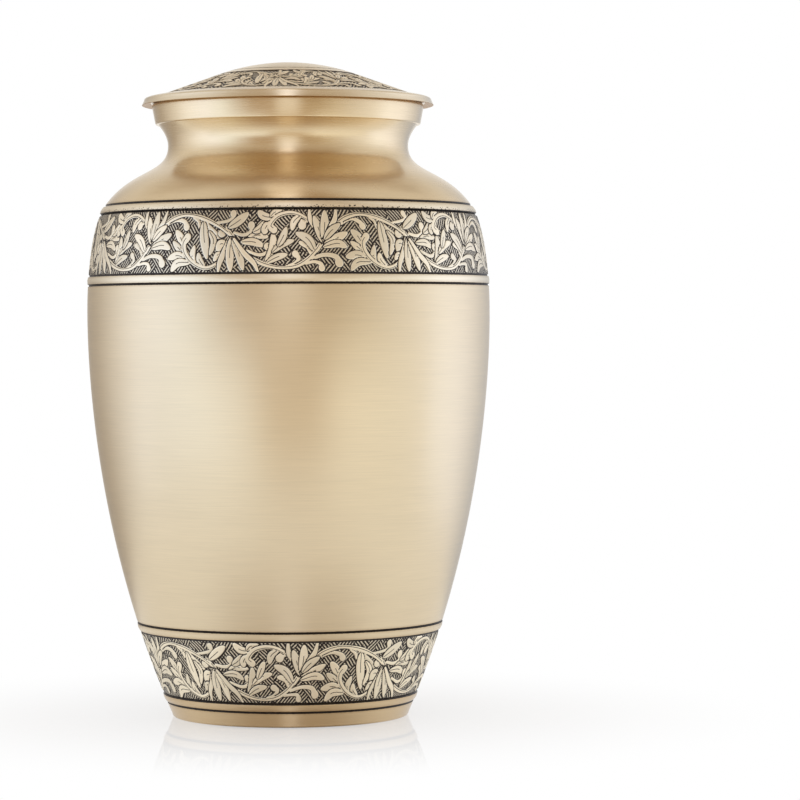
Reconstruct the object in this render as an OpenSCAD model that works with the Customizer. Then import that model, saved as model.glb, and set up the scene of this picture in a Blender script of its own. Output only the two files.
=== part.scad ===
// Brass cremation urn: a hollow spun vessel with a lift-off domed lid.
// Millimetres, +Z up. The origin is the centre of the underside, on the ground plane.
// Every outline is half a cross section, as [radius, height], turned about the Z axis.

/* [Vessel] */
// Height of the mouth rim above the ground
mouth_h = 239.5; // [195:0.1:290]
// Widest outside diameter of the body
body_d = 157.4; // [130:0.1:192]
// Outside diameter just above the foot edge
foot_d = 92.8; // [76:0.5:112]
// How far below the mouth rim the body is widest
belly_drop = 79.5; // [70:0.1:95]
// Thickness of the vessel wall
wall = 1.5; // [1:0.05:2.2]
// Thickness of the floor
floor_t = 1.8; // [1.2:0.1:3]

/* [Foot] */
// Rounding of the foot's outer edge
foot_edge = 1.2; // [0.6:0.1:2]
// Width of the flat ring that the urn stands on
foot_ring_w = 5; // [3:0.1:8]
// Depth of the recess inside the foot ring
foot_recess = 2.5; // [1:0.1:4]

/* [Shoulder and neck] */
// How far below the mouth rim the shoulder turns inward
shoulder_drop = 39.9; // [36:0.1:42]
// How far the shoulder's turning point lies inside the widest radius
shoulder_inset = 7.1; // [5.5:0.1:10]
// How far below the mouth rim the neck is narrowest
neck_drop = 16.5; // [15:0.1:19]
// How far the outside of the narrowest neck lies inside the mouth bore
neck_waist = 3.05; // [1.5:0.05:4]

/* [Mouth collar] */
// Diameter of the bore that the lid's spigot drops into
mouth_d = 100; // [82:0.5:122]
// Height of the thicker collar round the mouth
collar_h = 8.4; // [8:0.1:9.5]
// Thickness of the collar at its lower edge
collar_foot_w = 1.9; // [1.6:0.1:2.8]
// Thickness of the collar at the rim
collar_top_w = 3.1; // [2.8:0.1:4.2]
// Rounding of the collar's lower edge
collar_foot_round = 0.7; // [0.3:0.1:1]
// Width of the flat step under the collar
collar_step = 0.6; // [0.3:0.1:1]
// Rounding of the rim's outer edge
collar_top_round = 1.4; // [0.5:0.1:1.6]

/* [Lid] */
// How far the lid reaches out past the collar
lid_overhang = 3.9; // [2:0.1:5]
// How far the lid's rim hangs below its seat
rim_drop = 0.9; // [0.3:0.1:1.5]
// Height of the rim's outer face
rim_h = 2.9; // [2.5:0.1:4]
// How far the rim's outer face leans in from bottom to top
rim_lean = 0.8; // [0.2:0.1:1.5]
// Rounding between the rim's face and the ledge
rim_round = 1; // [0.4:0.1:1.2]
// Width of the plain ledge inside the rim
ledge_w = 7.3; // [5:0.1:9]
// Slope of the ledge in degrees
ledge_slope = 10.5; // [8:0.5:14]
// Width of the engraved band, measured across the lid
lid_band_w = 22; // [16:0.1:25]
// Slope of the engraved band in degrees
dome_slope = 19.8; // [16:0.1:24]
// Thickness of the lid's dome
lid_wall = 1.5; // [1:0.05:2.2]
// Length of the spigot that locates the lid in the mouth
spigot_h = 6; // [4:0.1:6.4]
// Thickness of the spigot
spigot_w = 1.5; // [1:0.1:2.5]
// Gap all round between the spigot and the bore
spigot_gap = 0.4; // [0.2:0.05:0.8]

/* [Turned lines and engraved bands] */
// Width of a turned line on the vessel
line_w = 0.9; // [0.5:0.05:1.2]
// Width of a turned line on the lid
lid_line_w = 0.6; // [0.3:0.05:0.8]
// Depth that the ground of an engraved band is cut back
band_depth = 0.35; // [0.2:0.05:0.6]
// Width of each plain rib beside a band, along the surface
rib_w = 3.7; // [2.5:0.05:5]
// How far below the mouth rim the shoulder band starts
shoulder_band_drop = 43.5; // [42:0.1:48]
// Height of the shoulder band
shoulder_band_h = 23.9; // [18:0.1:26]
// Height of the base band's lower line above the ground
base_band_z = 9.4; // [8:0.1:14]
// Height of the base band
base_band_h = 24.2; // [18:0.1:30]

/* [Hidden] */
$fn = 96;

foot_r = foot_d / 2;
body_r = body_d / 2;
mouth_r = mouth_d / 2;
neck_r = mouth_r - neck_waist;
collar_foot_r = mouth_r + collar_foot_w;
collar_top_r = mouth_r + collar_top_w;
collar_z = mouth_h - collar_h;
belly_z = mouth_h - belly_drop;
shoulder_band_z = mouth_h - shoulder_band_drop - shoulder_band_h;
floor_z = foot_recess + floor_t;
over = 1;               // how far a cutting shape runs past what it cuts

// Straight pieces that stand for one stretch of curve
body_steps = 26;
neck_steps = 18;
band_steps = 12;
round_steps = 6;

// Fullness of the lower body: how far its two curve handles reach, as parts of its width and height
lower_out = 1.05;
lower_up = 0.49;
lower_hold = 0.03;
// Lean of the shoulder's turning point from upright, and of the neck where it meets the collar
shoulder_lean = 35;
neck_lean = 40;
// Lengths of the curve handles over the belly, round the shoulder and through the neck
belly_hold = 2.7;
shoulder_hold = 12;
shoulder_run = 17.7;
neck_hold = 11.3;
neck_rise = 3.4;
neck_run = 1.9;

// The floor of the bore, level with the top of the neck's inner face
bore_z = collar_z + wall * sin(neck_lean);

function lean_dir(a) = [-sin(a), cos(a)];
function bezier(c, t) =
    pow(1 - t, 3) * c[0] + 3 * pow(1 - t, 2) * t * c[1] + 3 * (1 - t) * t * t * c[2] + pow(t, 3) * c[3];
function bezier_dir(c, t) =
    pow(1 - t, 2) * (c[1] - c[0]) + 2 * (1 - t) * t * (c[2] - c[1]) + t * t * (c[3] - c[2]);

// A curve as points, moved inward from the surface by a thickness
function inset_point(c, t, inset) =
    let (d = bezier_dir(c, t)) bezier(c, t) + inset * [-d[1], d[0]] / norm(d);
function curve(c, steps, inset = 0) = [for (i = [0:steps]) inset_point(c, i / steps, inset)];
function arc(centre, r, a0, a1, steps) =
    [for (i = [0:steps]) let (a = a0 + (a1 - a0) * i / steps) centre + r * [cos(a), sin(a)]];

// The four curves of the vessel's side, from the foot edge up to the collar
foot_point = [foot_r, foot_edge];
belly_point = [body_r, belly_z];
shoulder_point = [body_r - shoulder_inset, mouth_h - shoulder_drop];
neck_point = [neck_r, mouth_h - neck_drop];
neck_top = [collar_foot_r - collar_foot_round - collar_step, collar_z];

lower_side = [
    foot_point,
    foot_point + [lower_out * (body_r - foot_r), lower_up * (belly_z - foot_edge)],
    belly_point - [0, lower_hold * (belly_z - foot_edge)],
    belly_point
];
upper_side = [
    belly_point,
    belly_point + [0, belly_hold],
    shoulder_point - shoulder_hold * lean_dir(shoulder_lean),
    shoulder_point
];
neck_in = [
    shoulder_point,
    shoulder_point + shoulder_run * lean_dir(shoulder_lean),
    neck_point - [0, neck_hold],
    neck_point
];
neck_out = [
    neck_point,
    neck_point + [0, neck_rise],
    neck_top - neck_run * lean_dir(-neck_lean),
    neck_top
];

function side_line(inset) = concat(
    curve(lower_side, body_steps, inset),
    curve(upper_side, body_steps, inset),
    curve(neck_in, neck_steps, inset),
    curve(neck_out, neck_steps, inset)
);

// Outside radius of the plain side at a height, and the lean of the side from upright there
side_table = [for (p = side_line(0)) [p[1], p[0]]];
lean_span = 1;          // height over which the lean is measured
function side_r(z) = lookup(z, side_table);
function side_slope(z) =
    atan((side_r(z + lean_span / 2) - side_r(z - lean_span / 2)) / lean_span);
function rib_rise(z) = rib_w * cos(side_slope(z));

// Heights of the turned lines: two above and two below each band
shoulder_lines = [
    shoulder_band_z - rib_rise(shoulder_band_z),
    shoulder_band_z,
    shoulder_band_z + shoulder_band_h,
    shoulder_band_z + shoulder_band_h + rib_rise(shoulder_band_z + shoulder_band_h)
];
base_lines = [
    base_band_z - rib_rise(base_band_z),
    base_band_z,
    base_band_z + base_band_h,
    base_band_z + base_band_h + rib_rise(base_band_z + base_band_h)
];

module vessel_outside() {
    polygon(concat(
        [[0, 0]],
        arc([foot_r - foot_edge, foot_edge], foot_edge, -90, 0, round_steps),
        side_line(0),
        arc([collar_foot_r - collar_foot_round, collar_z + collar_foot_round],
            collar_foot_round, -90, 0, round_steps),
        arc([collar_top_r - collar_top_round, mouth_h - collar_top_round],
            collar_top_round, 0, 90, round_steps),
        [[0, mouth_h]]
    ));
}

// The hollow follows the side a wall's thickness in, and opens into the bore that takes the lid
module vessel_hollow() {
    intersection() {
        polygon(concat(
            [[0, 0]],
            side_line(wall),
            [[mouth_r, bore_z], [mouth_r, mouth_h + over], [0, mouth_h + over]]
        ));
        translate([0, floor_z]) square([body_r, mouth_h]);
    }
}

// The strip of surface between two heights, cut back to the engraved ground
module side_band(z0, h) {
    heights = [for (i = [0:band_steps]) z0 + h * i / band_steps];
    polygon(concat(
        [for (z = heights) [side_r(z) - band_depth, z]],
        [for (i = [band_steps:-1:0]) [side_r(heights[i]) + over, heights[i]]]
    ));
}

module side_lines(heights) {
    for (z = heights) translate([side_r(z), z]) circle(d = line_w);
}

module vessel() {
    color([0.86, 0.76, 0.58])
    rotate_extrude()
    difference() {
        vessel_outside();
        vessel_hollow();
        square([foot_r - foot_edge - foot_ring_w, foot_recess]);
        side_band(shoulder_band_z, shoulder_band_h);
        side_band(base_band_z, base_band_h);
        side_lines(shoulder_lines);
        side_lines(base_lines);
    }
}

// The lid, drawn from its seat on the mouth rim
lid_r = collar_top_r + lid_overhang;
ledge_r = lid_r - rim_lean;
band_r = ledge_r - ledge_w;
crown_r = band_r - lid_band_w;
ledge_z = rim_h - rim_drop;
band_z = ledge_z + ledge_w * tan(ledge_slope);
crown_z = band_z + lid_band_w * tan(dome_slope);
crown_radius = crown_r / sin(dome_slope);
crown_centre_z = crown_z - crown_radius * cos(dome_slope);
spigot_r = mouth_r - spigot_gap;
spigot_in_r = spigot_r - spigot_w;
rim_tip_w = 0.5;        // flat under the rim's hanging edge
underside_r = collar_top_r + rim_tip_w;

// Height of the dome's upper face over the band, lowered by a thickness
function dome_z(r, inset = 0) =
    crown_z + (crown_r - r) * tan(dome_slope) - inset / cos(dome_slope);

function crown_arc(inset) =
    arc([0, crown_centre_z], crown_radius - inset, 90, 90 - dome_slope, body_steps);

module lid_outside() {
    polygon(concat(
        crown_arc(0),
        [[band_r, band_z]],
        arc([ledge_r - rim_round, ledge_z - rim_round * cos(ledge_slope)],
            rim_round, 90 - ledge_slope, 0, round_steps),
        [
            [lid_r, -rim_drop],
            [lid_r - rim_tip_w, -rim_drop],
            [underside_r, 0],
            [spigot_r, 0],
            [spigot_r, -spigot_h],
            [0, -spigot_h]
        ]
    ));
}

module lid_hollow() {
    polygon(concat(
        crown_arc(lid_wall),
        [
            [spigot_in_r, dome_z(spigot_in_r, lid_wall)],
            [spigot_in_r, -spigot_h - over],
            [0, -spigot_h - over]
        ]
    ));
}

module lid_band() {
    polygon([
        [crown_r, crown_z - band_depth],
        [band_r, band_z - band_depth],
        [band_r, band_z + over],
        [crown_r, crown_z + over]
    ]);
}

// The turned lines bound the band, and one more runs round the crown
module lid_lines() {
    ring_r = crown_r - rib_w;
    ring_z = crown_centre_z + sqrt(pow(crown_radius, 2) - pow(ring_r, 2));
    for (p = [[band_r, band_z], [crown_r, crown_z], [ring_r, ring_z]])
        translate(p) circle(d = lid_line_w);
}

module lid() {
    color([0.88, 0.78, 0.6])
    translate([0, 0, mouth_h])
    rotate_extrude()
    difference() {
        lid_outside();
        lid_hollow();
        lid_band();
        lid_lines();
    }
}

vessel();
lid();
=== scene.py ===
import math

import bpy
import numpy as np
from mathutils import Matrix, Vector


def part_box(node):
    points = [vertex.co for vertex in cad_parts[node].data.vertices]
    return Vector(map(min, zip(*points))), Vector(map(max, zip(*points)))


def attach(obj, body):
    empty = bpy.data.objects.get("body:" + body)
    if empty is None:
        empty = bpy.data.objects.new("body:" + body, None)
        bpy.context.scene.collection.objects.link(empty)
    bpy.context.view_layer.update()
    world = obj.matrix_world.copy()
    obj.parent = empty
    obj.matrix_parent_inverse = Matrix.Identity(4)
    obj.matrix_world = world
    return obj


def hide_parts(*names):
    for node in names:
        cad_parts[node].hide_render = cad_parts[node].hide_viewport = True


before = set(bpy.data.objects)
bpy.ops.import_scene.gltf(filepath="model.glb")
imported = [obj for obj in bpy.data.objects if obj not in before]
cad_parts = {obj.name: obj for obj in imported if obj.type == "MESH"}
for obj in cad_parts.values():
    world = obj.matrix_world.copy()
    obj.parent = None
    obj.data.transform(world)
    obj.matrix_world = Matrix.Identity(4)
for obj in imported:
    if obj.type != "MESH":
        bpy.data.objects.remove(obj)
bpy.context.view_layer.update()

# ----------------------------------------------------------------------------------------------
# The side of the vessel. A disc of brass sheet is spun over a former into one thin shell: a
# tapering body, a rounded shoulder and a waisted neck. The lines round it are turned with a
# point on the lathe, and everything else is fitted to this outline.

MM = 0.001

vessel_low, vessel_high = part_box("vessel")
mouth_h = vessel_high.z / MM
body_r = min(-vessel_low.x, -vessel_low.y, vessel_high.x, vessel_high.y) / MM
foot_r = 46.4
foot_edge = 1.2
belly_z = mouth_h - 79.5
shoulder_point = np.array([body_r - 7.1, mouth_h - 39.9])
neck_point = np.array([46.95, mouth_h - 16.5])
collar_foot = np.array([51.9, mouth_h - 8.4])
collar_foot_round = 0.7
collar_step = 0.6
shoulder_lean = 35      # degrees from upright where the shoulder turns inward
neck_flare = 40         # degrees that the neck opens outward under the collar


def lean(degrees):
    """The direction that leans in from upright by an angle."""
    return np.array([-math.sin(math.radians(degrees)), math.cos(math.radians(degrees))])


def bezier(a, b, c, d, steps=120):
    """Points along a smooth curve from a to d, which b and c pull on."""
    t = np.linspace(0, 1, steps)[:, None]
    return (1 - t) ** 3 * a + 3 * (1 - t) ** 2 * t * b + 3 * (1 - t) * t * t * c + t ** 3 * d


foot_point = np.array([foot_r, foot_edge])
belly_point = np.array([body_r, belly_z])
neck_top = collar_foot - [collar_foot_round + collar_step, 0]
rise = belly_z - foot_edge
# each curve runs from its first point to its last, and is pulled by the two between them
side = np.vstack([
    bezier(foot_point, foot_point + [1.05 * (body_r - foot_r), 0.49 * rise],
           belly_point - [0, 0.03 * rise], belly_point),
    bezier(belly_point, belly_point + [0, 2.7], shoulder_point - 12 * lean(shoulder_lean),
           shoulder_point)[1:],
    bezier(shoulder_point, shoulder_point + 17.7 * lean(shoulder_lean),
           neck_point - [0, 11.3], neck_point)[1:],
    bezier(neck_point, neck_point + [0, 3.4], neck_top - 1.9 * lean(-neck_flare), neck_top)[1:],
])


def side_r(z):
    """The outside radius of the plain side at a height."""
    return np.interp(z, side[:, 1], side[:, 0])


# The turned lines: one at each edge of a band, and one more a rib's width outside it
line_w = 0.9
rib_w = 3.7
rib_proud = 0.45
shoulder_band = (mouth_h - 67.4, mouth_h - 43.5)
base_band = (9.4, 33.6)


def rib_rise(z):
    """How much higher a rib's second line lies, where the side slopes."""
    slope = (side_r(z + 0.5) - side_r(z - 0.5)) / 1.0
    return rib_w / math.sqrt(1 + slope ** 2)


side_lines = []
for low, high in (base_band, shoulder_band):
    side_lines += [low - rib_rise(low), low, high, high + rib_rise(high)]


def turned_side(z0, z1, step):
    """Outline points of the side between two heights, dipping into each turned line."""
    dip = np.linspace(-1, 1, 9) * line_w / 2
    z = [np.linspace(z0, z1, max(2, round((z1 - z0) / step)))]
    z += [zc + dip for zc in side_lines]
    z = np.unique(np.concatenate(z).round(4))
    z = z[(z >= z0) & (z <= z1)]
    r = side_r(z)
    # the ribs are rolled slightly proud between their two lines, but nowhere past the widest part
    for one, other in zip(side_lines[0::2], side_lines[1::2]):
        across = np.clip((z - one) * (other - z), 0, None) * 4 / (other - one) ** 2
        r = r + min(rib_proud, body_r - side_r((one + other) / 2)) * across
    gap = np.full(len(z), 99.0)
    for zc in side_lines:
        gap = np.minimum(gap, np.abs(z - zc) - line_w / 2)
        inside = np.clip((line_w / 2) ** 2 - (z - zc) ** 2, 0, None)
        r = r - np.sqrt(inside)
    return np.stack([r, z], axis=1), gap


# ----------------------------------------------------------------------------------------------
# The foot. The shell's lower end is turned to a flat ring with a rounded edge, and the underside
# is recessed inside it, so the urn stands on the ring alone.

foot_ring_w = 5.0
foot_recess = 2.5
near_axis = 0.3         # where an outline ends, to be closed to a point on the axis


def bend(centre, radius, first, last, steps=6):
    """Points round part of a circle, between two angles in degrees."""
    a = np.radians(np.linspace(first, last, steps))
    return np.stack([centre[0] + radius * np.cos(a), centre[1] + radius * np.sin(a)], axis=1)


def far(points):
    """A distance for points that lie nowhere near a turned line."""
    return np.full(len(points), 99.0)


def grid_mesh(name, points, wrap, rows_at=None, strips=1):
    """A mesh through a grid of points, counted upward and then round. A first or last row close
    round the axis is closed to one point. The bake map cuts the round into equal strips and
    stacks them, so that long thin bands fill the square."""
    rows, columns = points.shape[:2]
    faces_round = columns if wrap else columns - 1
    number = np.arange(rows * columns).reshape(rows, columns)
    left = number[:, :faces_round]
    right = np.roll(number, -1, axis=1)[:, :faces_round]
    quads = np.stack([left[:-1], right[:-1], right[1:], left[1:]], axis=-1).reshape(-1, 4)
    closed = [row for row in (0, -1) if wrap and np.hypot(*points[row, 0, :2]) < 0.5]
    centres = [points[row].mean(axis=0) for row in closed]
    corners = [quads.ravel()]
    for extra, row in enumerate(closed):
        centre = np.full(columns, rows * columns + extra)
        ends = (centre, right[0], left[0]) if row == 0 else (number[-1], np.roll(number[-1], -1), centre)
        corners.append(np.stack(ends, axis=-1).ravel())
    mesh = bpy.data.meshes.new(name)
    mesh.vertices.add(rows * columns + len(closed))
    mesh.vertices.foreach_set(
        "co", (np.vstack([points.reshape(-1, 3)] + centres) * MM).astype(np.float32).ravel())
    corners = np.concatenate(corners)
    mesh.loops.add(len(corners))
    mesh.loops.foreach_set("vertex_index", corners.astype(np.int32))
    starts = np.concatenate([np.arange(0, quads.size, 4), np.arange(quads.size, len(corners), 3)])
    mesh.polygons.add(len(starts))
    mesh.polygons.foreach_set("loop_start", starts.astype(np.int32))
    v = np.linspace(0, 1, rows) if rows_at is None else rows_at
    per_strip = math.ceil(faces_round / strips)
    column = np.arange(faces_round)
    strip = column // per_strip
    along = np.stack([column - strip * per_strip, column - strip * per_strip + 1], -1) / per_strip
    margin = 0.012
    u = margin + (1 - 2 * margin) * along
    uv = np.empty((rows - 1, faces_round, 4, 2))
    low = (strip[None] + margin + (1 - 2 * margin) * v[:-1, None]) / strips
    high = (strip[None] + margin + (1 - 2 * margin) * v[1:, None]) / strips
    for corner, (side_of, level) in enumerate(((0, low), (1, low), (1, high), (0, high))):
        uv[:, :, corner, 0] = u[None, :, side_of]
        uv[:, :, corner, 1] = level
    maps = [uv.reshape(-1, 2)]
    for row in closed:
        level = low[0, 0] if row == 0 else high[-1, 0]
        beyond = level + (-0.008 if row == 0 else 0.008)
        wedge = np.empty((columns, 3, 2))
        wedge[:, :, 0] = u[:, (0, 1, 0)]
        wedge[:, :, 1] = (beyond, level, level) if row == 0 else (level, level, beyond)
        maps.append(wedge.reshape(-1, 2))
    layer = mesh.uv_layers.new(name="OFBake")
    layer.data.foreach_set("uv", np.vstack(maps).astype(np.float32).ravel())
    mesh.update(calc_edges=True)
    mesh.shade_smooth()
    # the brushing runs round the urn's own axis, on part of a ring too
    mesh.use_auto_texspace = False
    mesh.texspace_location = (0, 0, 0.13)
    mesh.texspace_size = (0.09, 0.09, 0.14)
    return mesh


def spin(name, outline, gap, ticked=None, segments=256):
    """Turns an outline of [radius, height] points about the axis, and keeps each point's distance
    to the nearest turned line for the material."""
    turn = np.linspace(0, 2 * math.pi, segments, endpoint=False)
    r, z = outline[:, 0:1], outline[:, 1:2]
    points = np.stack([r * np.sin(turn), -r * np.cos(turn), z + 0 * turn], axis=-1)
    run = np.concatenate([[0], np.cumsum(np.hypot(*np.diff(outline, axis=0).T))])
    mesh = grid_mesh(name, points, True, rows_at=run / run[-1])
    mesh.set_sharp_from_angle(angle=math.radians(32))
    centre = np.full(len(mesh.vertices) - points.shape[0] * segments, 9.0)
    for label, gaps in (("line_gap", gap), ("tick_gap", gap + 9 if ticked is None else ticked)):
        line = mesh.attributes.new(label, "FLOAT", "POINT")
        line.data.foreach_set("value", np.append(np.repeat(gaps, segments), centre).astype(np.float32))
    piece = bpy.data.objects.new(name, mesh)
    bpy.context.scene.collection.objects.link(piece)
    return piece


def new_node(tree, kind, settings=None, **inputs):
    """Adds a node. An input is named by its label, or by its number after an i, and is given a
    value or another node's output to link to it."""
    made = tree.nodes.new(kind)
    for key, value in (settings or {}).items():
        setattr(made, key, value)
    for key, value in inputs.items():
        numbered = key[0] == "i" and key[1:].isdigit()
        socket = made.inputs[int(key[1:]) if numbered else key.replace("_", " ")]
        if isinstance(value, bpy.types.NodeSocket):
            tree.links.new(value, socket)
        else:
            socket.default_value = value
    return made


def maths(tree, operation, a, b=0.0, clamp=False):
    settings = {"operation": operation, "use_clamp": clamp}
    return new_node(tree, "ShaderNodeMath", settings, i0=a, i1=b).outputs[0]


def ramp(tree, value, low, high, to_low=0.0, to_high=1.0):
    """Turns a value smoothly from one level to another between two limits."""
    made = new_node(tree, "ShaderNodeMapRange", {"interpolation_type": "SMOOTHSTEP"},
                    i0=value, i1=low, i2=high, i3=to_low, i4=to_high)
    return made.outputs[0]


def blend_colour(tree, share, a, b):
    """Mixes colour b into colour a by a share."""
    return new_node(tree, "ShaderNodeMix", {"data_type": "RGBA"}, i0=share, i6=a, i7=b).outputs[2]


def scaled(tree, colour, factor):
    """A colour made lighter or darker by a factor."""
    made = new_node(tree, "ShaderNodeVectorMath", {"operation": "SCALE"}, i0=colour, Scale=factor)
    return made.outputs[0]


def attribute(tree, name, output="Vector"):
    """A value that the mesh keeps for each of its points."""
    return new_node(tree, "ShaderNodeAttribute", {"attribute_name": name}).outputs[output]


def axis_distance(tree, x, y):
    """The distance from the axis."""
    squares = maths(tree, "ADD", maths(tree, "MULTIPLY", x, x), maths(tree, "MULTIPLY", y, y))
    return maths(tree, "SQRT", squares)


def new_group(name, inputs, outputs):
    """A node group with its sockets, and its two end nodes."""
    group = bpy.data.node_groups.new(name, "ShaderNodeTree")
    for label, kind, value in inputs:
        socket = group.interface.new_socket(label, in_out="INPUT", socket_type="NodeSocket" + kind)
        socket.default_value = value
    for label, kind in outputs:
        group.interface.new_socket(label, in_out="OUTPUT", socket_type="NodeSocket" + kind)
    return group, group.nodes.new("NodeGroupInput"), group.nodes.new("NodeGroupOutput")


def round_noise(tree, x, y, z, round_scale, up_scale, detail=2.0, offset=0.0):
    """Noise drawn out round the axis: round_scale features a radian, up_scale a metre."""
    radius = maths(tree, "MAXIMUM", axis_distance(tree, x, y), 0.001)
    place = new_node(tree, "ShaderNodeCombineXYZ",
                     i0=maths(tree, "MULTIPLY", maths(tree, "DIVIDE", x, radius), round_scale),
                     i1=maths(tree, "MULTIPLY", maths(tree, "DIVIDE", y, radius), round_scale),
                     i2=maths(tree, "ADD", maths(tree, "MULTIPLY", z, up_scale), offset)).outputs[0]
    return new_node(tree, "ShaderNodeTexNoise", Vector=place, Scale=1.0, Detail=detail,
                    Roughness=0.6).outputs[0]


brushing, given, result = new_group(
    "brushed brass",
    [("Colour", "Color", (0.74, 0.62, 0.43, 1)), ("Warm", "Color", (0.70, 0.55, 0.34, 1)),
     ("Roughness", "Float", 0.3), ("Streak", "Float", 1.0)],
    [("Colour", "Color"), ("Roughness", "Float"), ("Height", "Float")])
place = new_node(brushing, "ShaderNodeTexCoord").outputs["Object"]
x, y, z = new_node(brushing, "ShaderNodeSeparateXYZ", i0=place).outputs
# on flat-lying surfaces, such as the lid, the brushing is told apart by the radius as well
across = maths(brushing, "ADD", z, axis_distance(brushing, x, y))
fine = round_noise(brushing, x, y, across, 5, 4200, 2.0)
middle = round_noise(brushing, x, y, across, 2.2, 1100, 2.0, 7.0)
broad = round_noise(brushing, x, y, across, 0.8, 90, 2.0, 3.0)
patch = new_node(brushing, "ShaderNodeTexNoise", Vector=place, Scale=14.0, Detail=2.0).outputs[0]
streak = maths(brushing, "ADD", maths(brushing, "MULTIPLY", maths(brushing, "SUBTRACT", fine, 0.5), 0.7),
               maths(brushing, "MULTIPLY", maths(brushing, "SUBTRACT", middle, 0.5), 0.4))
streak = maths(brushing, "MULTIPLY", streak, given.outputs["Streak"])
tone = maths(brushing, "ADD", maths(brushing, "MULTIPLY", streak, 0.24),
             maths(brushing, "MULTIPLY", maths(brushing, "SUBTRACT", broad, 0.5), 0.06))
warmth = ramp(brushing, patch, 0.35, 0.75, 0.0, 0.18)
warmed = blend_colour(brushing, warmth, given.outputs["Colour"], given.outputs["Warm"])
brushing.links.new(scaled(brushing, warmed, maths(brushing, "ADD", tone, 1.0)), result.inputs["Colour"])
brushing.links.new(maths(brushing, "ADD", given.outputs["Roughness"],
                         maths(brushing, "MULTIPLY", streak, 0.10)), result.inputs["Roughness"])
brushing.links.new(streak, result.inputs["Height"])

rubbed_black = (0.018, 0.011, 0.007, 1)
stained_brown = (0.40, 0.27, 0.13, 1)
blackening, given, result = new_group(
    "blackened line",
    [("Colour", "Color", (0.8, 0.6, 0.4, 1)), ("Roughness", "Float", 0.3), ("Distance", "Float", 1.0),
     ("Ticked", "Float", 9.0)],
    [("Colour", "Color"), ("Roughness", "Float"), ("Metallic", "Float")])
place = new_node(blackening, "ShaderNodeTexCoord").outputs["Object"]
ragged = new_node(blackening, "ShaderNodeTexNoise", Vector=place, Scale=900.0, Detail=2.0).outputs[0]
edge = maths(blackening, "ADD", given.outputs["Distance"],
             maths(blackening, "MULTIPLY", maths(blackening, "SUBTRACT", ragged, 0.5), 0.22))
# here and there the graver has run past the band and left a speck on the rib
speck = new_node(blackening, "ShaderNodeTexNoise", Vector=place, Scale=1700.0, Detail=0.0).outputs[0]
slip = maths(blackening, "SUBTRACT", given.outputs["Ticked"], ramp(blackening, speck, 0.6, 0.75, 0.0, 0.9))
edge = maths(blackening, "MINIMUM", edge, slip)
black = ramp(blackening, edge, -0.06, 0.06, 1.0, 0.0)
stain = ramp(blackening, edge, 0.0, 0.9, 0.35, 0.0)
worn = blend_colour(blackening, stain, given.outputs["Colour"], stained_brown)
blackening.links.new(blend_colour(blackening, black, worn, rubbed_black), result.inputs["Colour"])
blackening.links.new(maths(blackening, "ADD", given.outputs["Roughness"],
                           maths(blackening, "MULTIPLY", black, 0.12)), result.inputs["Roughness"])
blackening.links.new(maths(blackening, "SUBTRACT", 1.0, black), result.inputs["Metallic"])


def brass_shader(material, colour, roughness, metallic, height, spread=0.7, bump=0.012, sheen=0.25):
    """The Principled shader that all the brushed brass shares: brushing round the axis spreads
    highlights along it. bump is the depth of the height, in mm."""
    tree = material.node_tree
    shader = tree.nodes["Principled BSDF"]
    shader.inputs["Anisotropic"].default_value = spread
    shader.inputs["Anisotropic Rotation"].default_value = 0.25
    shader.inputs["Coat Roughness"].default_value = 0.2
    shader.inputs["Coat Weight"].default_value = 0.1
    shader.inputs["Specular IOR Level"].default_value = sheen
    tangent = new_node(tree, "ShaderNodeTangent", {"direction_type": "RADIAL", "axis": "Z"}).outputs[0]
    tree.links.new(tangent, shader.inputs["Tangent"])
    tree.links.new(colour, shader.inputs["Base Color"])
    tree.links.new(roughness, shader.inputs["Roughness"])
    tree.links.new(metallic, shader.inputs["Metallic"])
    bumped = new_node(tree, "ShaderNodeBump", Strength=0.3, Distance=bump * MM, Height=height).outputs[0]
    tree.links.new(bumped, shader.inputs["Normal"])


def new_material(name):
    material = bpy.data.materials.new(name)
    material.use_nodes = True
    return material


def turned_brass(name, roughness, spread, colour=(0.74, 0.62, 0.43, 1)):
    """Brushed brass with the blackened lines that are turned into it."""
    made = new_material(name)
    tree = made.node_tree
    brushed = new_node(tree, "ShaderNodeGroup", {"node_tree": brushing}, Colour=colour, Roughness=roughness)
    lined = new_node(tree, "ShaderNodeGroup", {"node_tree": blackening}, Colour=brushed.outputs["Colour"],
                     Roughness=brushed.outputs["Roughness"], Distance=attribute(tree, "line_gap", "Fac"),
                     Ticked=attribute(tree, "tick_gap", "Fac"))
    brass_shader(made, lined.outputs["Colour"], lined.outputs["Roughness"], lined.outputs["Metallic"],
                 brushed.outputs["Height"], spread)
    return made


def vessel_piece(piece, finish):
    """Gives a piece its finish and its place in the vessel."""
    piece.data.materials.append(finish)
    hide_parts("vessel")
    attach(piece, "root")


# the foot's brass is darker and browner than the body's: painted shade, for the shadowed table near the foot
# that it reflects
foot_shade_brass = turned_brass("foot_shade_brass", 0.3, 0.6, (0.63, 0.48, 0.29, 1))

ring_in = foot_r - foot_edge - foot_ring_w
under = np.array([[near_axis, foot_recess], [10, foot_recess], [20, foot_recess], [30, foot_recess],
                  [ring_in - 0.3, foot_recess], [ring_in, foot_recess - 0.3], [ring_in, 0.3],
                  [ring_in + 0.3, 0], [ring_in + 2.5, 0]])
edge = bend([foot_r - foot_edge, foot_edge], foot_edge, -90, 0)
lower, lower_gap = turned_side(foot_edge + 0.01, base_band[0], 0.8)
outline = np.vstack([under, edge, lower])
foot = spin("vessel_foot", outline, np.concatenate([far(under), far(edge), lower_gap]))
vessel_piece(foot, foot_shade_brass)

# ----------------------------------------------------------------------------------------------
# The body: the plain side between the two bands, with a turned line and a rib at each end. It is
# the widest part of the same spun shell, and is brushed round and round on the lathe.

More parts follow.
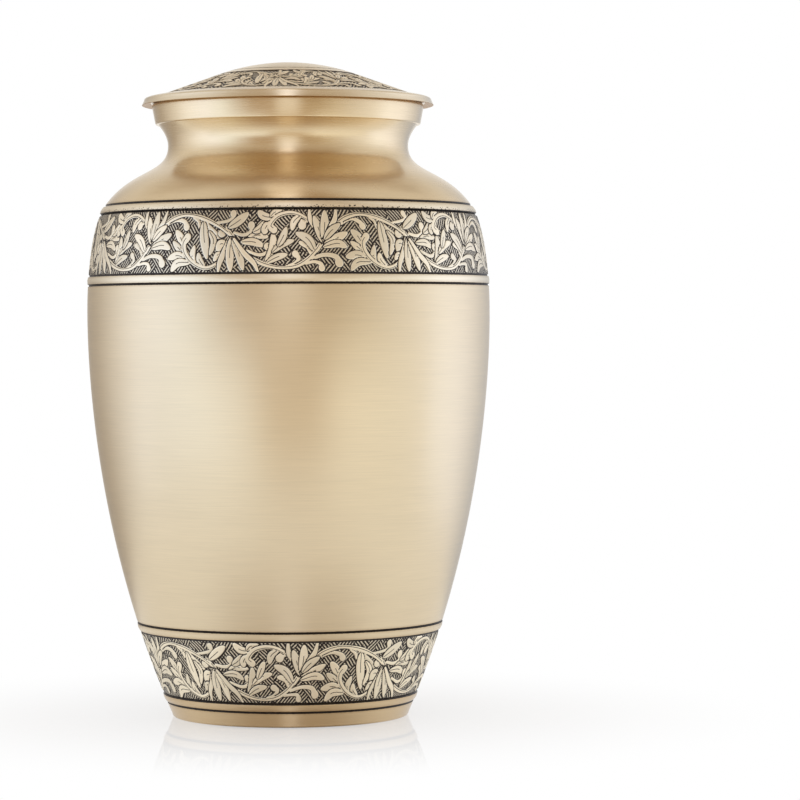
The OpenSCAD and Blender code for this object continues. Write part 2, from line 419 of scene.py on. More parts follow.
satin_brass = turned_brass("satin_brass", 0.36, 0.2)
# a paler brass for the ribs at the shoulder band: painted highlight
lit_rib_brass = turned_brass("lit_rib_brass", 0.36, 0.2, (0.87, 0.78, 0.60, 1))


def refinish(piece, material, low, high, inner=0.0):
    """Gives the faces between two heights, outside a radius, a finish of their own."""
    if material.name not in piece.data.materials:
        piece.data.materials.append(material)
    at = piece.data.materials.find(material.name)
    for face in piece.data.polygons:
        x, y, z = face.center / MM
        if low < z < high and math.hypot(x, y) > inner:
            face.material_index = at


def paint_rib_light(piece, low, high):
    """Paints the rib between two turned lines paler than the side: a painted highlight for the light that the
    proud rib catches.
    """
    refinish(piece, lit_rib_brass, low, high, inner=side_r(low) - 4)


outline, body_gap = turned_side(base_band[1], shoulder_band[0], 1.6)
body = spin("vessel_body", outline, body_gap)
vessel_piece(body, satin_brass)
paint_rib_light(body, *side_lines[4:6])

# ----------------------------------------------------------------------------------------------
# The shoulder, neck, mouth collar and the inside of the shell, down to the floor. The collar is
# a thicker ring round the mouth, bored true to take the lid's spigot.

collar_top_r = 53.1
collar_top_round = 1.4
mouth_r = 50.0
mouth_edge = 0.3
wall = 1.5
floor_t = 1.8
bright_brass = turned_brass("bright_brass", 0.26, 0.7, (0.76, 0.61, 0.39, 1))
# a dark orange-brown brass: painted shadow for the gap between the lid's rim and the collar
gap_shadow_brass = turned_brass("gap_shadow_brass", 0.42, 0.3, (0.46, 0.28, 0.12, 1))

upper, upper_gap = turned_side(shoulder_band[1], neck_top[1] - 0.01, 0.55)
collar_z = collar_foot[1]
collar = np.vstack([
    bend([collar_foot[0] - collar_foot_round, collar_z + collar_foot_round], collar_foot_round, -90, 0),
    bend([collar_top_r - collar_top_round, mouth_h - collar_top_round], collar_top_round, 0, 90),
    [[mouth_r + mouth_edge, mouth_h], [mouth_r, mouth_h - mouth_edge]],
])
inner_z = np.concatenate([[collar_z + 0.96], np.linspace(collar_z, foot_recess + floor_t + 2, 40)])
inner = np.stack([np.minimum(side_r(inner_z) - wall, mouth_r), inner_z], axis=1)
floor_points = np.array([[side_r(6) - wall - 2.5, foot_recess + floor_t], [20, foot_recess + floor_t],
                         [near_axis, foot_recess + floor_t]])
bore = np.array([[mouth_r, collar_z + 1.0]])
outline = np.vstack([upper, collar, bore, inner, floor_points])
# the specks lie only just above the band's upper line, on the outside
band_edge_gap = np.where(outline[:, 0] > neck_point[0],
                         np.abs(outline[:, 1] - shoulder_band[1]) - line_w / 2, 9)
neck = spin("vessel_neck_and_inside", outline,
            np.concatenate([upper_gap, far(collar), far(bore), far(inner), far(floor_points)]),
            ticked=band_edge_gap + np.where(np.arange(len(outline)) < len(upper), 0, 9))
vessel_piece(neck, bright_brass)
# the top of the collar, under the lid, is painted dark orange-brown: a painted shadow for the gap under the
# lid's rim
refinish(neck, gap_shadow_brass, mouth_h - 1.0, mouth_h + 0.1, inner=mouth_r + 0.5)
paint_rib_light(neck, *side_lines[6:8])

# ----------------------------------------------------------------------------------------------
# The engraved bands. A chaser cuts leaf scrolls into the brass with small punches and gravers:
# each leaf is left standing at the surface inside a deep outline, the ground behind is lowered
# and hatched, and black is rubbed into all of it and wiped off the tops.

# one repeat, drawn flat in millimetres along and up the band, from its upward fan of leaves
cell_w = 70.5
cell_h = 24.0
cut_w = 0.42            # width of the outline cut round a leaf
vein_w = 0.13           # half width of the line cut up the middle of a broad leaf
ground_depth = 0.28

# form, half width, points along the middle from the base to the tip
stem = [
    ("stem", 0.83, [(-2.5, 8.2), (0, 12), (3.5, 16.2), (8, 19.9), (13, 21.7), (18, 21.7), (24, 20.3),
                    (30, 17.6), (35.2, 14.2)]),
    ("stem", 0.83, [(34.6, 15), (36.8, 12.4), (39.5, 9), (43, 5.9), (48, 3.3), (54, 1.9), (60, 2.4),
                    (64.6, 5), (68.2, 8.8), (70.5, 12.4)]),
]
scrolls = [
    # the long curl that springs from a fan, runs round the loop and ends in a bud
    ("curl", 1.1, [(35, 13), (33.6, 7.2), (30, 3.4), (25.5, 1.9), (20.4, 3.8), (16.8, 7.4), (15.8, 11),
                   (17.3, 13.6)]),
    ("curl", 1.1, [(0, 12), (-2.6, 16.6), (-5.6, 19.8), (-9.6, 21.9), (-13.6, 22.2), (-17.6, 20.8),
                   (-20.1, 17.6), (-18.6, 15.9)]),
]
leaves = [
    # inside the loop under the high stem
    ("curl", 1.03, [(3.2, 15), (7, 18.2), (11.5, 20), (15, 19.2), (16.2, 17.4)]),
    ("leaf", 1.22, [(18.6, 21.2), (21.6, 19.6), (22.3, 16.4)]),
    ("leaf", 1.88, [(22.8, 20), (26, 16), (31, 13)]),
    ("leaf", 1.97, [(23.6, 19), (24.4, 13), (26, 5)]),
    ("leaf", 1.36, [(26.4, 15.6), (28.6, 12), (27.2, 6.6)]),
    ("leaf", 1.74, [(15.6, 9.8), (14.2, 13), (11.6, 16.2)]),
    ("leaf", 1.51, [(16.2, 7.4), (13.6, 9.4), (10.6, 11.8)]),
    ("leaf", 1.81, [(17.6, 5), (13.2, 6.7), (8.6, 5.9)]),
    ("leaf", 1.74, [(19, 4), (13.6, 3.9), (10.4, 1)]),
    ("leaf", 1.51, [(23, 2.2), (19.8, 5.6), (20.6, 10.6)]),
    ("leaf", 1.29, [(25.2, 2.2), (23, 4.6), (22.3, 7.6)]),
    ("leaf", 1.74, [(34.6, 9.6), (31.6, 11), (30.2, 7.8)]),
    ("leaf", 1.22, [(33, 6.6), (30.6, 6.6), (28.9, 4.6)]),
    # round the head of the downward fan
    ("bud", 1.15, [(34.6, 15.4), (32.8, 16.6), (31.6, 15)]),
    ("curl", 0.96, [(28.6, 18.6), (33.2, 19.4), (35.8, 20.4), (35.4, 22.2)]),
    ("leaf", 1.88, [(34.4, 17), (38, 19.4), (42, 22.2)]),
    ("curl", 1.1, [(36.6, 14.8), (40.4, 14.2), (43.4, 15.4), (43.2, 17.6)]),
    ("leaf", 1.51, [(42, 13), (46, 14), (50, 13.4)]),
    ("leaf", 1.51, [(44.2, 15.2), (46.4, 16.6), (48.6, 19.4)]),
    ("leaf", 1.51, [(39.6, 11.4), (44.2, 11.6), (48, 9.6)]),
    ("curl", 1.03, [(41.6, 8.2), (46.4, 6.6), (49.6, 8), (49.2, 10.2)]),
    # inside the loop over the low stem
    ("leaf", 1.74, [(49, 3.4), (51.4, 8.8), (51.6, 14.6)]),
    ("leaf", 1.51, [(51.6, 7.8), (55, 10.6), (59.4, 11.8)]),
    ("leaf", 1.44, [(53.6, 10), (55.2, 13.2), (56.6, 16.6)]),
    ("leaf", 1.44, [(49.4, 3.8), (53, 5.8), (57.2, 6.8)]),
    ("curl", 0.96, [(56, 2), (59.6, 3.4), (61.4, 5.4), (60, 6.8)]),
    ("leaf", 1.74, [(66.4, 6.4), (65, 10), (61.2, 10.9)]),
    ("leaf", 1.81, [(67.4, 8.2), (64.6, 12.6), (60.4, 15)]),
    ("leaf", 1.44, [(62.4, 21.4), (59.6, 19), (58.6, 15.8)]),
    ("bud", 1.08, [(66.2, 18.6), (63.8, 19.4), (62.6, 17.8)]),
    ("leaf", 1.59, [(50.6, 19.4), (48.8, 16.8), (48.4, 14.8)]),
    ("leaf", 1.66, [(51.4, 20.4), (48, 21), (45.4, 23.2)]),
    ("leaf", 1.29, [(50.6, 21), (52, 22.6), (55, 23.4)]),
    # to the right of the upward fan and under it
    ("leaf", 1.74, [(0.6, 11), (5, 12.8), (9.6, 15)]),
    ("leaf", 1.66, [(0.4, 9.6), (5.6, 10.8), (9.4, 9.4)]),
    ("curl", 1.22, [(-4, 5.4), (0.6, 6.6), (4.8, 6), (6, 3.4)]),
    ("curl", 0.9, [(-6.6, 3.4), (-3.4, 3.9), (-1, 3.4), (-0.6, 1.9)]),
]
fans = [
    ("blade", 1.04, [(-0.6, 11.4), (-2.6, 16.6), (-4.6, 20), (-4.9, 24.2)]),
    ("leaf", 1.81, [(-0.2, 11.6), (-1.4, 16), (-3, 21.2)]),
    ("leaf", 1.81, [(0.2, 12.4), (1, 17.6), (1.2, 23.2)]),
    ("blade", 1.04, [(0.4, 12.2), (3.2, 16.8), (5.2, 20), (6, 24.2)]),
    ("leaf", 1.51, [(0.8, 12.6), (3.4, 15.6), (7, 18)]),
    ("blade", 0.99, [(34.6, 13), (33, 8), (31.2, 4), (30.8, 0)]),
    ("leaf", 1.81, [(35.4, 13), (35, 7), (35.2, 0.6)]),
    ("leaf", 1.74, [(36, 13), (38.4, 7.4), (40.2, 0.8)]),
    ("blade", 0.99, [(36.6, 12.6), (40.8, 7), (44.2, 3.8), (46, 0)]),
]


def trace(points, steps=14):
    """A smooth line through a few points."""
    p = np.array(points, float)
    p = np.vstack([2 * p[0] - p[1], p, 2 * p[-1] - p[-2]])
    t = np.linspace(0, 1, steps, endpoint=False)[:, None]
    parts = []
    for a, b, c, d in zip(p[:-3], p[1:-2], p[2:-1], p[3:]):
        parts.append(b + t * (c - a) / 2 + t ** 2 * (a - 2.5 * b + 2 * c - d / 2)
                     + t ** 3 * (1.5 * (b - c) + (d - a) / 2))
    return np.vstack(parts + [p[-2:-1]])


def swell(form, share):
    """How a stroke's half width changes from its base, 0, to its tip, 1."""
    if form == "leaf":
        return 2.0 * (share + 0.03) ** 0.62 * (1 - share) ** 0.6
    if form == "blade":
        return (0.5 + 0.5 * np.sin(math.pi * np.minimum(share * 1.1, 1))) * np.clip((1.3 - share) / 0.4, 0, 1)
    if form == "curl":
        return np.where(share > 0.93, 1.25, 0.55 + 0.5 * share ** 2)
    if form == "bud":
        return 0.5 + 0.9 * share ** 1.5
    return 0.85 + 0.15 * np.sin(6 * math.pi * share)


def chase(along, up, repeats, seed):
    """For every point of a band: how far it lies inside the leaf on top of it, in mm, a tone for
    that leaf, and how far to one side it is of the line cut along the leaf. Hand work varies, so
    each leaf of each repeat is bent and set a little apart."""
    rng = np.random.default_rng(seed)
    inside = np.full(along.shape, -9.0)
    tone = np.full(along.shape, 0.5)
    vein = np.full(along.shape, 9.0)
    rooted = np.zeros(along.shape, bool)
    columns, rows = along[0], up[:, 0]
    for strokes, play, joined in ((leaves, 0.35, False), (stem + scrolls, 0.0, True), (fans, 0.25, False)):
        growth = np.full(along.shape, -9.0)
        growth_vein = np.full(along.shape, 9.0)
        for repeat in range(-1, repeats + 1):
            for form, half, points in strokes:
                p = np.array(points, float)
                p = p + rng.uniform(-play, play, p.shape) * np.linspace(0.2, 1, len(p))[:, None]
                line = trace(p) + [repeat * cell_w, 0]
                way = np.gradient(line, axis=0)
                way /= np.hypot(way[:, 0], way[:, 1])[:, None]
                share = np.linspace(0, 1, len(line))
                width = half * rng.uniform(0.94, 1.06) * swell(form, share)
                leaf_tone = rng.uniform(0, 1)
                margin = half * 1.5 + 0.9
                c0, c1 = np.searchsorted(columns, [line[:, 0].min() - margin, line[:, 0].max() + margin])
                r0, r1 = np.searchsorted(rows, [line[:, 1].min() - margin, line[:, 1].max() + margin])
                if c1 <= c0 or r1 <= r0:
                    continue
                region = (slice(r0, r1), slice(c0, c1))
                a, b = along[region], up[region]
                best = np.full(a.shape, -9.0)
                root = np.full(a.shape, -9.0)
                near = np.full(a.shape, 99.0)
                aside = np.full(a.shape, 9.0)
                for (cx, cy), (tx, ty), w, how_far in zip(line, way, width, share):
                    away = np.hypot(a - cx, b - cy)
                    best = np.maximum(best, w - away)
                    if how_far < 0.3:
                        root = np.maximum(root, w - away)
                    closer = away < near
                    near = np.where(closer, away, near)
                    offset = tx * (b - cy) - ty * (a - cx)
                    shown = how_far < (0.62 if form == "leaf" else 0.97 if joined else 0.0)
                    shift = 0.32 * half if joined else 0.0
                    aside = np.where(closer, offset - shift if shown else 9.0, aside)
                if joined:
                    deeper = best > growth[region]
                    growth_vein[region] = np.where(deeper, aside, growth_vein[region])
                    growth[region] = np.maximum(growth[region], best)
                    continue
                top = best > -cut_w
                inside[region][top] = best[top]
                tone[region][top] = leaf_tone
                vein[region][top] = aside[top]
                rooted[region][top] = root[top] > 0.1
        kept = rooted & (growth > -cut_w) & (growth < 0)
        top = (growth > -cut_w) & ~kept
        inside[top] = growth[top]
        inside[kept] = np.maximum(inside[kept], 0.3)
        vein[top] = growth_vein[top]
        tone[top] = 0.7
    return inside, tone, vein


def engrave(name, repeats, front, outline, seed, spacing=0.27, parts=2, strips=3):
    """Makes a band in parts. outline(share) gives the radius, height and outward direction of the
    plain surface from the band's lower edge, 0, to its upper edge, 1. front turns the first
    upward fan away from the front, in degrees."""
    share = np.linspace(0, 1, 400)
    r, z, out_r, out_z = outline(share)
    height = np.hypot(np.diff(r), np.diff(z)).sum()
    mean_r = r.mean()
    rows = round(height / spacing) + 1
    per_part = round(2 * math.pi * mean_r / spacing / parts / strips) * strips
    columns = per_part * parts
    turn = np.arange(columns + 1) / columns * 2 * math.pi
    share = np.linspace(0, 1, rows)
    r, z, out_r, out_z = outline(share)
    along, up = np.meshgrid(turn / (2 * math.pi) * repeats * cell_w, share * cell_h)
    inside, tone, vein = chase(along, up, repeats, seed)
    # the cut sinks from the leaf's edge to the ground, and the tops are eased over at their rims
    fall = np.clip((inside + cut_w) / (cut_w + 0.1), 0, 1)
    depth = ground_depth * (1 - fall * fall * (3 - 2 * fall))
    edge = np.minimum(share, 1 - share)[:, None] * height + 0 * along
    groove = np.sqrt(np.clip((line_w / 2) ** 2 - edge ** 2, 0, None))
    depth = np.where(edge < line_w / 2, np.maximum(depth, groove), depth)
    angle = turn + math.radians(front) - 2 * math.pi * (repeats // 2) / repeats
    rr = r[:, None] - depth * out_r[:, None]
    zz = z[:, None] - depth * out_z[:, None]
    points = np.stack([rr * np.sin(angle), -rr * np.cos(angle), zz], axis=-1)
    along_mm = along / cell_w * (2 * math.pi * mean_r / repeats)
    up_mm = up / cell_h * height
    pieces = []
    for part in range(parts):
        cut = slice(part * per_part, (part + 1) * per_part + 1)
        mesh = grid_mesh(f"{name}_{part + 1}", points[:, cut], False, strips=strips)
        chased = np.stack([along_mm[:, cut], up_mm[:, cut], inside[:, cut]], axis=-1)
        mesh.attributes.new("chased", "FLOAT_VECTOR", "POINT").data.foreach_set(
            "vector", chased.astype(np.float32).ravel())
        extra = np.stack([edge[:, cut], tone[:, cut], vein[:, cut]], axis=-1)
        mesh.attributes.new("leaf", "FLOAT_VECTOR", "POINT").data.foreach_set(
            "vector", extra.astype(np.float32).ravel())
        piece = bpy.data.objects.new(mesh.name, mesh)
        bpy.context.scene.collection.objects.link(piece)
        pieces.append(piece)
    return pieces


# hatching, in the flat millimetres of the band
hatching, given, result = new_group(
    "hatched ground", [("Along", "Float", 0.0), ("Up", "Float", 0.0)], [("Cut", "Float")])
along, up = given.outputs["Along"], given.outputs["Up"]
flat = new_node(hatching, "ShaderNodeCombineXYZ", i0=along, i1=up).outputs[0]
wobble = new_node(hatching, "ShaderNodeTexNoise", Vector=flat, Scale=0.11, Detail=0.0).outputs[0]
region = new_node(hatching, "ShaderNodeTexNoise", Vector=flat, Scale=0.16, Detail=1.0).outputs[0]
hand = new_node(hatching, "ShaderNodeTexNoise", Vector=flat, Scale=1.7, Detail=1.0).outputs[0]
hatch_pitch = 1.1
hatch_slope = 38        # degrees


def hatch(degrees, phase):
    """Parallel cuts at an angle, 1 in a cut and 0 between two."""
    angle = math.radians(degrees)
    turned = maths(hatching, "ADD", maths(hatching, "MULTIPLY", along, math.cos(angle) / hatch_pitch),
                   maths(hatching, "MULTIPLY", up, math.sin(angle) / hatch_pitch))
    bent = maths(hatching, "ADD", turned, maths(hatching, "MULTIPLY", wobble, 1.4))
    saw = maths(hatching, "FRACT", maths(hatching, "ADD", bent, phase))
    middle_gap = maths(hatching, "ABSOLUTE", maths(hatching, "SUBTRACT", saw, 0.5))
    width = ramp(hatching, hand, 0.3, 0.7, 0.26, 0.38)
    return maths(hatching, "LESS_THAN", middle_gap, width)


falling = hatch(hatch_slope, 0.0)
rising = hatch(-hatch_slope, 0.4)
# some patches are cut one way, some the other, and a few both ways
only_falling = maths(hatching, "GREATER_THAN", region, 0.52)
only_rising = maths(hatching, "LESS_THAN", region, 0.48)
falling = maths(hatching, "MULTIPLY", falling, maths(hatching, "SUBTRACT", 1.0, only_rising))
rising = maths(hatching, "MULTIPLY", rising, maths(hatching, "SUBTRACT", 1.0, only_falling))
hatching.links.new(maths(hatching, "MAXIMUM", falling, rising), result.inputs["Cut"])

chased_brass = new_material("chased_brass")
tree = chased_brass.node_tree
brushed = new_node(tree, "ShaderNodeGroup", {"node_tree": brushing}, Colour=(0.90, 0.81, 0.63, 1),
                   Warm=(0.84, 0.70, 0.48, 1), Roughness=0.42, Streak=0.6)
along, up, inside = new_node(tree, "ShaderNodeSeparateXYZ", i0=attribute(tree, "chased")).outputs
edge, tone, vein = new_node(tree, "ShaderNodeSeparateXYZ", i0=attribute(tree, "leaf")).outputs
hatched = new_node(tree, "ShaderNodeGroup", {"node_tree": hatching}, Along=along, Up=up).outputs["Cut"]
ground = ramp(tree, inside, -cut_w - 0.03, -cut_w + 0.03, 1.0, 0.0)
outline_cut = maths(tree, "LESS_THAN", inside, 0.0)
dark = maths(tree, "MAXIMUM", maths(tree, "MULTIPLY", ground, hatched),
             maths(tree, "SUBTRACT", outline_cut, ground, True))
dark = maths(tree, "MAXIMUM", dark, maths(tree, "LESS_THAN", edge, line_w / 2 - 0.03))
veined = maths(tree, "MULTIPLY", maths(tree, "LESS_THAN", maths(tree, "ABSOLUTE", vein), vein_w),
               maths(tree, "GREATER_THAN", inside, 0.22))
dark = maths(tree, "MAXIMUM", dark, veined)
# each leaf has a tone of its own, and the ground between the cuts is duller than the tops
shade = maths(tree, "MULTIPLY", ramp(tree, tone, 0.0, 1.0, 0.93, 1.06),
              ramp(tree, ground, 0.0, 1.0, 1.0, 0.8))
colour = blend_colour(tree, dark, scaled(tree, brushed.outputs["Colour"], shade), rubbed_black)
rough = maths(tree, "ADD", brushed.outputs["Roughness"], maths(tree, "MULTIPLY", dark, 0.12))
brass_shader(chased_brass, colour, rough, maths(tree, "SUBTRACT", 1.0, dark),
             maths(tree, "SUBTRACT", brushed.outputs["Height"], maths(tree, "MULTIPLY", dark, 0.5)),
             spread=0.1, bump=0.05, sheen=0.35)


def side_outline(low, high):
    """The plain side between two heights, as engrave wants it."""
    def outline(share):
        z = low + (high - low) * share
        slope = (side_r(z + 0.25) - side_r(z - 0.25)) / 0.5
        size = np.sqrt(1 + slope ** 2)
        return side_r(z), z, 1 / size, -slope / size
    return outline


shoulder_pieces = engrave("shoulder_band", 7, 9.5, side_outline(*shoulder_band), seed=11)
base_pieces = engrave("base_band", 5, 4.0, side_outline(*base_band), seed=23, spacing=0.28)
for piece in shoulder_pieces + base_pieces:
    vessel_piece(piece, chased_brass)

# ----------------------------------------------------------------------------------------------
# The lid: a shallow spun dome with a thick overhanging rim and a plain spigot that drops into
# the mouth. It is turned, brushed and engraved in the same way as the vessel.

lid_low, lid_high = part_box("lid")
lid_r = min(-lid_low.x, -lid_low.y, lid_high.x, lid_high.y) / MM
rim_drop = 0.9
rim_h = 2.9
rim_lean = 0.8
rim_round = 1.0
ledge_degrees = 10.5
ledge_slope = math.radians(ledge_degrees)
dome_slope = math.radians(19.8)
ledge_w = 7.3
lid_band_w = 22.0
ledge_r = lid_r - rim_lean
band_r = ledge_r - ledge_w
crown_r = band_r - lid_band_w
ledge_z = mouth_h + rim_h - rim_drop
band_z = ledge_z + ledge_w * math.tan(ledge_slope)
crown_z = band_z + lid_band_w * math.tan(dome_slope)
crown_radius = crown_r / math.sin(dome_slope)
crown_centre = crown_z - crown_radius * math.cos(dome_slope)
spigot_r = mouth_r - 0.4
spigot_w = 1.5
spigot_h = 6.0
spigot_edge = 0.2
lid_wall = 1.5
lid_line_w = 0.6
lid_brass = turned_brass("lid_brass", 0.26, 0.7, (0.79, 0.68, 0.50, 1))


def ring_gaps(outline, rings):
    """Distance from each outline point to the edge of the nearest turned ring."""
    gap = far(outline)
    for ring in rings:
        gap = np.minimum(gap, np.hypot(*(outline - ring).T) - lid_line_w / 2)
    return gap


def dent(outline, rings):
    """Sinks an outline into each turned ring."""
    out = outline.copy()
    for ring in rings:
        away = np.hypot(*(outline - ring).T)
        out[:, 1] -= np.sqrt(np.clip((lid_line_w / 2) ** 2 - away ** 2, 0, None))
    return out


def crown_point(r):
    """Points of the lid's rounded top at some radii."""
    return np.stack([r, crown_centre + np.sqrt(crown_radius ** 2 - r ** 2)], axis=-1)


band_ring = np.array([band_r, band_z])
crown_ring = np.array([crown_r, crown_z])
inner_ring = crown_point(np.array([crown_r - rib_w]))[0]
down_ledge = np.array([math.cos(ledge_slope), -math.sin(ledge_slope)])
near_ledge = band_ring + np.linspace(0, 1, 9)[:, None] * lid_line_w / 2 * down_ledge
spigot_in = spigot_r - spigot_w
spigot_foot = mouth_h - spigot_h
spigot_top = crown_z + (crown_r - spigot_in) * math.tan(dome_slope) - lid_wall / math.cos(dome_slope)
underside = np.vstack([
    crown_point(np.linspace(near_axis, crown_r, 24)) - [0, lid_wall],
    [[spigot_in, spigot_top], [spigot_in, spigot_foot + spigot_edge],
     [spigot_in + spigot_edge, spigot_foot], [spigot_r - spigot_edge, spigot_foot],
     [spigot_r, spigot_foot + spigot_edge], [spigot_r, mouth_h],
     [collar_top_r + 0.5, mouth_h], [lid_r - 0.5, mouth_h - rim_drop],
     [lid_r - 0.1, mouth_h - rim_drop + 0.02]],
])
rim = np.vstack([
    [[lid_r, mouth_h - rim_drop + 0.15]],
    bend([ledge_r - rim_round, ledge_z - rim_round * math.cos(ledge_slope)],
         rim_round, 0, 90 - ledge_degrees, 10),
    np.linspace([ledge_r - 1.6, ledge_z + 1.6 * math.tan(ledge_slope)], near_ledge[-1] + [0.1, -0.02], 12),
    near_ledge[::-1],
])
outline = np.vstack([underside, rim])
lid_rim = spin("lid_rim_and_underside", dent(outline, [band_ring]), ring_gaps(outline, [band_ring]))
radii = np.unique(np.concatenate([
    np.linspace(near_axis, crown_r, 40),
    inner_ring[0] + np.linspace(-1, 1, 9) * lid_line_w / 2,
    crown_r - np.linspace(0, 1, 6) * lid_line_w / 2]).round(4))[::-1]
outline = crown_point(radii)
crown_rings = [crown_ring, inner_ring]
crown = spin("lid_crown", dent(outline, crown_rings), ring_gaps(outline, crown_rings))
for piece in (lid_rim, crown):
    piece.data.materials.append(lid_brass)


def dome_outline(share):
    """The plain slope of the dome between its rings, as engrave wants it."""
    r = band_r + (crown_r - band_r) * share
    return (r, band_z + (crown_z - band_z) * share,
            np.full(len(r), math.sin(dome_slope)), np.full(len(r), math.cos(dome_slope)))


# the underside of the lid's rim over the collar gets the same painted shadow for the gap
refinish(lid_rim, gap_shadow_brass, mouth_h - rim_drop - 0.1, mouth_h + 0.05, inner=collar_top_r)
lid_band = engrave("lid_band", 5, 30.0, dome_outline, seed=37, spacing=0.3, parts=1)
for piece in lid_band:
    piece.data.materials.append(chased_brass)
for piece in [lid_rim, crown] + lid_band:
    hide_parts("lid")
    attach(piece, "root")

# ----------------------------------------------------------------------------------------------
# The studio: a pale glossy table, a light tent that is brighter at its two sides, a low white card
# in front, a softbox overhead, and a camera with a long lens at the height of the urn's belly.

table_r = 0.5
table_forward = 0.3     # the table reaches further to the front than to the back


def lens_rays(tree):
    """The light path, and 1 for what the lens sees directly or in a reflection."""
    path = new_node(tree, "ShaderNodeLightPath")
    mirrored = maths(tree, "MAXIMUM", path.outputs["Is Glossy Ray"], path.outputs["Is Transmission Ray"])
    return path, maths(tree, "MAXIMUM", path.outputs["Is Camera Ray"], mirrored)


bpy.ops.mesh.primitive_circle_add(vertices=128, radius=table_r, fill_type="NGON",
                                  location=(0, -table_forward, -0.0002))
table = bpy.context.object
table.name = "table"
table_white = new_material("table_white")
tree = table_white.node_tree
matt = new_node(tree, "ShaderNodeBsdfDiffuse", Color=(0.92, 0.94, 0.98, 1))
gloss = new_node(tree, "ShaderNodeBsdfGlossy", Color=(1, 1, 1, 1), Roughness=0.03)
glazed = new_node(tree, "ShaderNodeMixShader", i0=0.5, i1=matt.outputs[0], i2=gloss.outputs[0])
path, seen = lens_rays(tree)
place = new_node(tree, "ShaderNodeTexCoord").outputs["Object"]
from_urn = new_node(tree, "ShaderNodeVectorMath", {"operation": "SUBTRACT"},
                    i0=place, i1=(0, table_forward, 0)).outputs[0]
distance = new_node(tree, "ShaderNodeVectorMath", {"operation": "LENGTH"}, i0=from_urn).outputs["Value"]
# painted shade: seen in a reflection, the table just in front of the foot is left without its white glow, so
# the foot reflects it darker
frontward = maths(tree, "DIVIDE", new_node(tree, "ShaderNodeSeparateXYZ", i0=from_urn).outputs[1],
                  maths(tree, "MULTIPLY", distance, -1.0))
lit = maths(tree, "MAXIMUM", ramp(tree, frontward, 0.55, 0.95, 1.0, 0.1), ramp(tree, distance, 0.1, 0.2))
shaded = maths(tree, "MAXIMUM", path.outputs["Is Camera Ray"], lit)
clear = maths(tree, "MULTIPLY", maths(tree, "MULTIPLY", seen, shaded),
              ramp(tree, distance, 0.03, 0.2, 0.48, 1.0))
white = new_node(tree, "ShaderNodeEmission", Color=(1, 1, 1, 1), Strength=1.0)
paper = new_node(tree, "ShaderNodeMixShader", i0=clear, i1=glazed.outputs[0], i2=white.outputs[0])
tree.links.new(paper.outputs[0], tree.nodes["Material Output"].inputs["Surface"])
table.data.materials.append(table_white)

lit_cloth = new_material("lit_cloth")
tree = lit_cloth.node_tree
tree.nodes.clear()
glow = new_node(tree, "ShaderNodeEmission", Color=attribute(tree, "cloth", "Color"))
tree.links.new(glow.outputs[0], new_node(tree, "ShaderNodeOutputMaterial").inputs["Surface"])
lit_cloth.cycles.emission_sampling = "NONE"


def colours_round(levels, angles):
    """The colour at each angle, between those given as (degrees, colour)."""
    return np.stack([np.interp(np.degrees(angles), [a for a, _ in levels], [c[i] for _, c in levels])
                     for i in range(3)], axis=-1)


def glowing_sheet(name, points, colours, wrap):
    """A sheet through points in metres that lights the urn and is hidden from the lens."""
    mesh = grid_mesh(name, points / MM, wrap)
    colours = np.concatenate([colours, np.ones(colours.shape[:2] + (1,))], axis=-1)
    mesh.color_attributes.new("cloth", "FLOAT_COLOR", "POINT").data.foreach_set(
        "color", colours.astype(np.float32).ravel())
    mesh.materials.append(lit_cloth)
    sheet = bpy.data.objects.new(name, mesh)
    bpy.context.scene.collection.objects.link(sheet)
    sheet.visible_camera = False
    sheet.visible_shadow = False
    return sheet


# Brightness of the tent by direction round the urn, in degrees to the right of the front: dark
# behind each edge of the urn, bright at the two sides, and dim and warm either side of the lens
tent_levels = [
    (-180, (1.0, 1.0, 1.0)), (-172, (1.0, 1.0, 1.0)), (-160, (0.42, 0.39, 0.37)), (-138, (0.5, 0.45, 0.4)),
    (-113, (0.93, 0.94, 1.0)), (-95, (1.25, 1.35, 1.6)), (-75, (1.35, 1.5, 1.9)), (-58, (1.2, 1.35, 1.6)),
    (-44, (0.85, 0.85, 0.9)), (-30, (0.55, 0.42, 0.3)), (-14, (0.55, 0.42, 0.3)), (-6, (1.0, 0.97, 0.95)),
    (6, (1.0, 0.97, 0.95)), (14, (0.54, 0.42, 0.28)), (26, (0.54, 0.42, 0.28)), (40, (0.74, 0.66, 0.55)),
    (58, (0.9, 0.88, 0.88)), (76, (1.1, 1.12, 1.2)), (95, (1.35, 1.45, 1.7)), (115, (1.25, 1.32, 1.55)),
    (138, (0.8, 0.83, 0.92)), (159, (0.5, 0.53, 0.6)), (170, (1.0, 1.0, 1.0)), (180, (1.0, 1.0, 1.0))]
tent_r = 2.6
tent_rows = np.array([-1.2, -0.6, 0.0, 0.5, 1.0, 1.6, 2.2, 2.6, 2.8])
tent_in = np.array([1.0, 1.0, 1.0, 1.0, 0.98, 0.9, 0.65, 0.35, 0.02])
angles = np.radians(np.linspace(-180, 180, 181)[:-1])
points = np.stack([
    tent_r * tent_in[:, None] * np.sin(angles), -tent_r * tent_in[:, None] * np.cos(angles),
    tent_rows[:, None] + 0 * angles], axis=-1)
